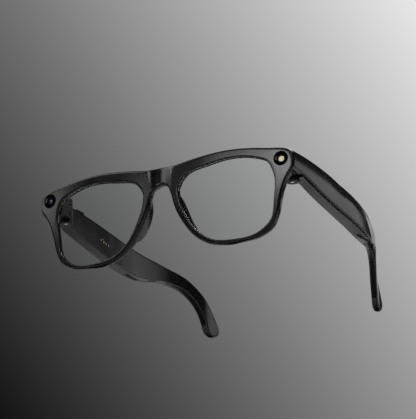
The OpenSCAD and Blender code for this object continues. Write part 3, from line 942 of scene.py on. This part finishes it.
def outer_cover(side, name, cutters):
    """The outer shell, from the front's seam to the end of the tip."""
    top, bottom = ribs(OUTER_FROM)
    along = top - bottom
    lift = FOOT_T * (1 - ramp(bottom[:, 0], FOOT_TO - 16, FOOT_TO + 1))
    bottom = bottom + along / np.maximum(np.linalg.norm(along, axis=1), 1e-6)[:, None] * lift[:, None]
    top, bottom = end_bevel(top, bottom, FRONT_BEVEL)
    face = side_face(top, bottom, outer_x, read(OUTER_ROUND_TOP, top[:, 0]),
                     read(ROUND_LOW, bottom[:, 0]), 1)
    face[0, :, 0] -= FRONT_BEVEL
    middle = face[:, MIDDLE_COLUMN, 1]
    seam = np.where(middle < 21, HINGE_SEAM_X, inner_x(middle) + INNER_T)
    cover(side, name, "_outer_cover", "cover_plastic", cover_rings(face, seam, BEVEL), cutters)


def inner_cover(side, name, cutters):
    """The inner shell, which makes room for the hinge and carries the floor."""
    top, bottom = end_bevel(*ribs(INNER_FROM), BEVEL)

    def face_x(y, z):
        return np.where(y < 22.6, np.maximum(inner_x(y), knuckle_edge(y)), inner_x(y))

    face = side_face(top, bottom, face_x, read(INNER_ROUND_TOP, top[:, 0]),
                     read(ROUND_LOW, bottom[:, 0]), -1)
    seam = inner_x(face[:, MIDDLE_COLUMN, 1]) + INNER_T
    cover(side, name, "_inner_cover", "inner_plastic", cover_rings(face, seam, BEVEL), cutters, foot())


def foot():
    """Rings of the floor of the temple, which belongs to the inner cover."""
    y = np.concatenate([[FOOT_FROM, FOOT_FROM + BEVEL], np.linspace(18.2, FOOT_TO - BEVEL, 64), [FOOT_TO]])
    z = underside(y)
    slope = np.gradient(z, y)
    up = np.stack([-slope, np.ones_like(slope)], axis=1)
    up = up / np.linalg.norm(up, axis=1)[:, None]
    shrink = np.where((y <= FOOT_FROM) | (y >= FOOT_TO), BEVEL, 0.0)
    near = np.where(y < INNER_FROM, knuckle_edge(y), inner_x(y) + 0.6) + shrink
    far = outer_x(y, z + 0.5) - FOOT_INSET - shrink
    thick = FOOT_T * (1 - ramp(y, FOOT_TO - 16, FOOT_TO + 1)) + 0.05
    rings = []
    for k in range(len(y)):
        low, high = shrink[k] + 0.002, max(thick[k] - 0.15, 0.3) - shrink[k]
        ring = [(near[k], high)]
        for u in np.linspace(0, 1, 7)[:-1]:
            ring.append((near[k] + (far[k] - near[k]) * u, low))
        ring += [(far[k] - BEVEL, low), (far[k], low + BEVEL), (far[k], high)]
        rings.append([[x, y[k] + up[k][0] * h, z[k] + up[k][1] * h] for x, h in ring])
    return rings


# The strip's ends as places along the side view, its middle beyond the inner side, and its size
STRIP_FROM, STRIP_TO = 20.5, 15.9
STRIP_MIDDLE = 1.9
STRIP_HALF = 1.3
STRIP_PROUD = 0.12
STRIP_SINK = 0.6


def tip_strip(side, name):
    """The soft strip let into the lower edge of the tip."""
    places = curve(SIDE_VIEW, np.linspace(STRIP_FROM, STRIP_TO, 70))
    out = side_of(places)
    if out[0, 1] > 0:
        out = -out
    share = np.linspace(0, 1, len(places))
    swell = np.minimum(1, np.minimum(share, 1 - share) / 0.03 + 0.12)
    rings = []
    for k, place in enumerate(places):
        wide = 0.25 + 0.75 * float(ramp(share[k], 0, 0.45))
        middle = float(inner_x(place[0])) + STRIP_MIDDLE
        half = STRIP_HALF * wide * (0.6 + 0.4 * swell[k])
        ring = []
        for a in np.linspace(0, math.pi, 9):
            height = STRIP_PROUD * swell[k] * math.sin(a) ** 0.7 if 0 < a < math.pi else 0.0
            ring.append([middle - half * math.cos(a), *(place + out[k] * (0.02 + height))])
        for x in (middle + half, middle - half):
            ring.append([x, *(place - out[k] * STRIP_SINK)])
        rings.append(ring)
    Shell().loft(rings).mirrored(side).build(name + "_tip_strip_insert", "soft_rubber",
                                             name + "_temple", name + "_tip_strip", 40)


# --- Small parts of the temples ---

CONTACTS = [(59.4 + 2.7 * i, 34.6 - 0.4 * i) for i in range(4)]
SIDE_MIC = (INNER_X, 39.7, 33.4)
SIDE_MIC_R = 0.42
BUTTON_X, BUTTON_Y = 70.1, 40.0
SWITCH_Z = 36.5
GRILLE_FROM, GRILLE_TO = 91, 105
GRILLE_X = (68.35, 70.8)


def small_bar(shell, x, y, z, size, round_edge):
    """A small block with rounded edges, middle at x, y, z."""
    sx, sy, sz = np.array(size) / 2
    plan = box_plan(box_corners(x - sx, x + sx, y - sy, y + sy), round_edge)
    return shell.prism(plan, z - sz, z + sz, round_edge * 0.9, 3)


def right_details():
    """Charge contacts and capture button. Returns the inner cover's cuts and the outer cover's."""
    cutters = []
    shell = Shell()
    for y, z in CONTACTS:
        small_bar(shell, INNER_X + 0.55, y, z, (0.9, 1.15, 1.8), 0.16)
        cutters.append(small_bar(Shell(), INNER_X, y, z, (1.2, 1.45, 2.1), 0.2).mirrored(-1))
    shell.mirrored(-1).build("charge_contact_row", "gold_plate", "right_temple",
                             "charge_contacts", 40)
    across = Matrix.Rotation(math.radians(90), 4, "Y")
    hole = Shell().turn([[0.001, -1], [SIDE_MIC_R, -1], [SIDE_MIC_R, 1.2], [0.001, 1.2]],
                        Matrix.Translation(SIDE_MIC) @ across, 24)
    cutters.append(hole.mirrored(-1))
    button = small_bar(Shell(), BUTTON_X, BUTTON_Y, 42.55, (2.0, 8.0, 3.1), 0.45)
    button.mirrored(-1).build("capture_button_cap", "control_plastic", "capture_button",
                              "capture_button", 40)
    slot = small_bar(Shell(), BUTTON_X, BUTTON_Y, 43.6, (2.35, 8.35, 4.4), 0.5)
    return cutters, [slot.mirrored(-1)]


def left_details():
    """The power switch. Returns the inner cover's cut for it."""
    shell = small_bar(Shell(), INNER_X + 0.25, 39.1, SWITCH_Z, (1.2, 5.0, 2.1), 0.2)
    for i in range(5):
        small_bar(shell, INNER_X - 0.35, 37.5 + 0.8 * i, SWITCH_Z, (0.3, 0.32, 1.7), 0.1)
    shell.build("power_switch_slider", "control_plastic", "power_switch", "power_switch", 40)
    return [small_bar(Shell(), INNER_X, 40.1, SWITCH_Z, (1.9, 7.3, 2.5), 0.15)]


def floor_bar(shell, along, across, heights_above, stations):
    """A bar that follows the temple's lower edge, between two values of y, of x and of height."""
    (x0, x1), (low, high) = across, heights_above
    rings = []
    for y in np.linspace(*along, stations):
        z = float(underside(y))
        rings.append([[x0, y, z + low], [x1, y, z + low], [x1, y, z + high], [x0, y, z + high]])
    return shell.loft(rings)


def grille(side, name):
    """A slotted speaker grille in the floor of the temple. Returns the cut for it."""
    shell = Shell()
    whole = (GRILLE_FROM, GRILLE_TO)
    floor_bar(shell, whole, GRILLE_X, (0.45, 0.8), 16)
    for i in range(7):
        start = GRILLE_FROM + 0.5 + 2 * i
        floor_bar(shell, (start, start + 1), GRILLE_X, (-0.04, 0.5), 3)
    floor_bar(shell, whole, (68.3, 68.65), (-0.04, 0.5), 16)
    floor_bar(shell, whole, (70.5, 70.85), (-0.04, 0.5), 16)
    shell.mirrored(side).build(name + "_speaker_grille_bars", "soft_rubber", name + "_temple",
                               name + "_speaker_grille", 30)
    room = floor_bar(Shell(), (GRILLE_FROM - 0.1, GRILLE_TO + 0.1), (68.25, 70.9), (-1, 2), 12)
    return room.mirrored(side)


def glasses():
    """All pieces, with the cuts in the covers that their small parts need."""
    front_frame()
    brow_cover()
    camera_and_light()
    contact_cuts, button_cut = right_details()
    inner_cuts = {"left": left_details(), "right": contact_cuts}
    outer_cuts = {"left": [], "right": button_cut}
    for side, name in SIDES:
        lens(side, name)
        nose_pad(side, name)
        hinge(side, name)
        outer_cover(side, name, outer_cuts[name])
        inner_cover(side, name, inner_cuts[name] + [grille(side, name)])
        tip_strip(side, name)


# --- Camera, light and stage ---

VIEW_FROM = Vector((547.2, FRONT_Y - 1052.5, -363.9)) * MM
VIEW_AZIMUTH = math.radians(26.30)
VIEW_UP = math.radians(18.06)
VIEW_ROLL = math.radians(-1.66)
VIEW_LENS = 211.2
# Rough direction of that view, and the one along which the painted light on the wall grows, in metres
VIEW_LINE = (-0.4212, 0.8523, 0.31)
PAINTED_LIGHT_LINE = (2.785, 0.716, 1.815)
WALL_GAMMA = 2.2
WALL_PALE = 0.42
AMBIENT = 0.025
# The middle of the front, which some boxes face
FRONT = (0, -0.08, 0.04)
# Boxes in front that light the ends of the front and leave its middle dark: [from x, to x, radiance]
FRONT_ROW = [(-0.02, -0.115, 8.5), (-0.115, -0.20, 5.0), (-0.20, -0.29, 3.6), (-0.46, -0.55, 1.8)]
# The other boxes: place, the point it faces, width and height, radiance. All in metres.
BOXES = {
    "front_left_box": ((-0.92, -0.75, 0.44), (-0.05, -0.08, 0.04), (0.34, 0.12), 2.4),
    # Two higher ones show in the hollow of the bridge
    "bridge_left_box": ((-0.46, -0.325, 0.45), FRONT, (0.66, 0.22), 2.2),
    "bridge_right_box": ((0.30, -0.62, 0.45), FRONT, (0.09, 0.24), 3.6),
    # Three behind light the outer side of the left temple, its upper edge and its tip
    "back_right_box": ((0.305, 0.39, 0.14), (0.05, 0.0, 0.03), (0.2, 0.14), 0.75),
    "rim_box": ((-0.35, 0.50, 0.2), (0.05, 0.05, 0.03), (0.3, 0.14), 0.5),
    "tip_box": ((-0.08, 0.62, 0.2), (0.05, 0.07, 0.02), (0.24, 0.18), 0.6),
    # A low one above the left temple and a wide one high up light the top and the floor
    "top_box": ((0.09, 0.07, 0.25), (0.09, 0.07, 0.0), (0.12, 0.16), 8.0),
    "sky_box": ((0.0, 0.0, 1.3), (0, 0, 0), (1.8, 1.8), 0.35),
}


def add_camera():
    """A long lens that looks up at the glasses from below, in front and to their left."""
    data = bpy.data.cameras.new("view")
    data.sensor_width = 36
    data.lens = VIEW_LENS
    data.clip_start = 0.05
    camera = bpy.data.objects.new("view", data)
    turn = (Matrix.Rotation(VIEW_AZIMUTH, 4, "Z") @ Matrix.Rotation(math.radians(90) + VIEW_UP, 4, "X")
            @ Matrix.Rotation(VIEW_ROLL, 4, "Z"))
    camera.matrix_world = Matrix.Translation(VIEW_FROM) @ turn
    bpy.context.scene.collection.objects.link(camera)
    bpy.context.scene.camera = camera


def add_panel(name, place, target, size, radiance):
    """A soft box: its power follows from its size and from how bright its face is."""
    data = bpy.data.lights.new(name, "AREA")
    data.shape = "RECTANGLE"
    data.size, data.size_y = size
    data.energy = radiance * size[0] * size[1] * math.pi
    light = bpy.data.objects.new(name, data)
    light.location = place
    light.rotation_euler = (Vector(target) - Vector(place)).to_track_quat("-Z", "Y").to_euler()
    bpy.context.scene.collection.objects.link(light)


def add_floor():
    """Pale paper that is clear from below."""
    mesh = bpy.data.meshes.new("floor")
    half = 1.6
    mesh.from_pydata([(-half, -half, 0), (half, -half, 0), (half, half, 0), (-half, half, 0)],
                     [], [(0, 1, 2, 3)])
    floor = bpy.data.objects.new("floor", mesh)
    floor.location.z = -0.0002
    bpy.context.scene.collection.objects.link(floor)
    material, tree, shader = new_material("floor_paper")
    feed(tree, shader, {"Base Color": (0.62, 0.62, 0.63, 1), "Roughness": 0.8})
    below = new_node(tree, "NewGeometry").outputs["Backfacing"]
    show_mix(tree, below, shader, new_node(tree, "BsdfTransparent"))
    mesh.materials.append(material)


def add_world():
    """A plain grey wall, pale all round, with painted light that brightens it to the upper right of the camera's
    view.
    """
    world = bpy.data.worlds.new("studio")
    world.use_nodes = True
    tree = world.node_tree
    ambient = tree.nodes["Background"]
    feed(tree, ambient, {"Color": (*[AMBIENT] * 3, 1)})
    place = new_node(tree, "TexCoord").outputs["Generated"]

    def along(direction):
        node = new_node(tree, "VectorMath", {0: place, 1: direction}, operation="DOT_PRODUCT")
        return node.outputs["Value"]

    # Painted light: the wall the camera sees grows brighter toward the upper right
    painted_light = map_node(tree, along(PAINTED_LIGHT_LINE), 0.003, 1.003, -0.5, 0.5)
    power = new_node(tree, "Math", {0: painted_light, 1: WALL_GAMMA}, operation="POWER")
    near = new_node(tree, "MapRange", {"Value": along(VIEW_LINE), "From Min": 0.955, "From Max": 0.992},
                    interpolation_type="SMOOTHSTEP")
    wall = new_node(tree, "Mix", {"Factor": near.outputs["Result"], "A": WALL_PALE,
                                  "B": power.outputs["Value"]})
    seen = new_node(tree, "Background", {"Color": wall.outputs["Result"]})
    camera_ray = new_node(tree, "LightPath").outputs["Is Camera Ray"]
    show_mix(tree, camera_ray, ambient, seen, "World Output")
    bpy.context.scene.world = world


def add_lights():
    for index, (start, end, radiance) in enumerate(FRONT_ROW):
        middle = (start + end) / 2
        add_panel("front_box_%d" % (index + 1), (middle, -0.95, 0.385), (middle * 0.2 + 0.04, -0.08, 0.04),
                  (abs(end - start), 0.1), radiance)
    for name, box in BOXES.items():
        add_panel(name, *box)


def paint_cad():
    """Gives every CAD node the material of its slot."""
    slots = {part["node"]: part["material_slot"] for part in frame["record"]["subparts"]}
    for name, node in frame["nodes"].items():
        node.data.materials.clear()
        node.data.materials.append(LOOKS[slots[name]])


glasses()
bpy.context.scene.view_settings.view_transform = "Standard"
add_camera()
add_floor()
add_world()
add_lights()
paint_cad()
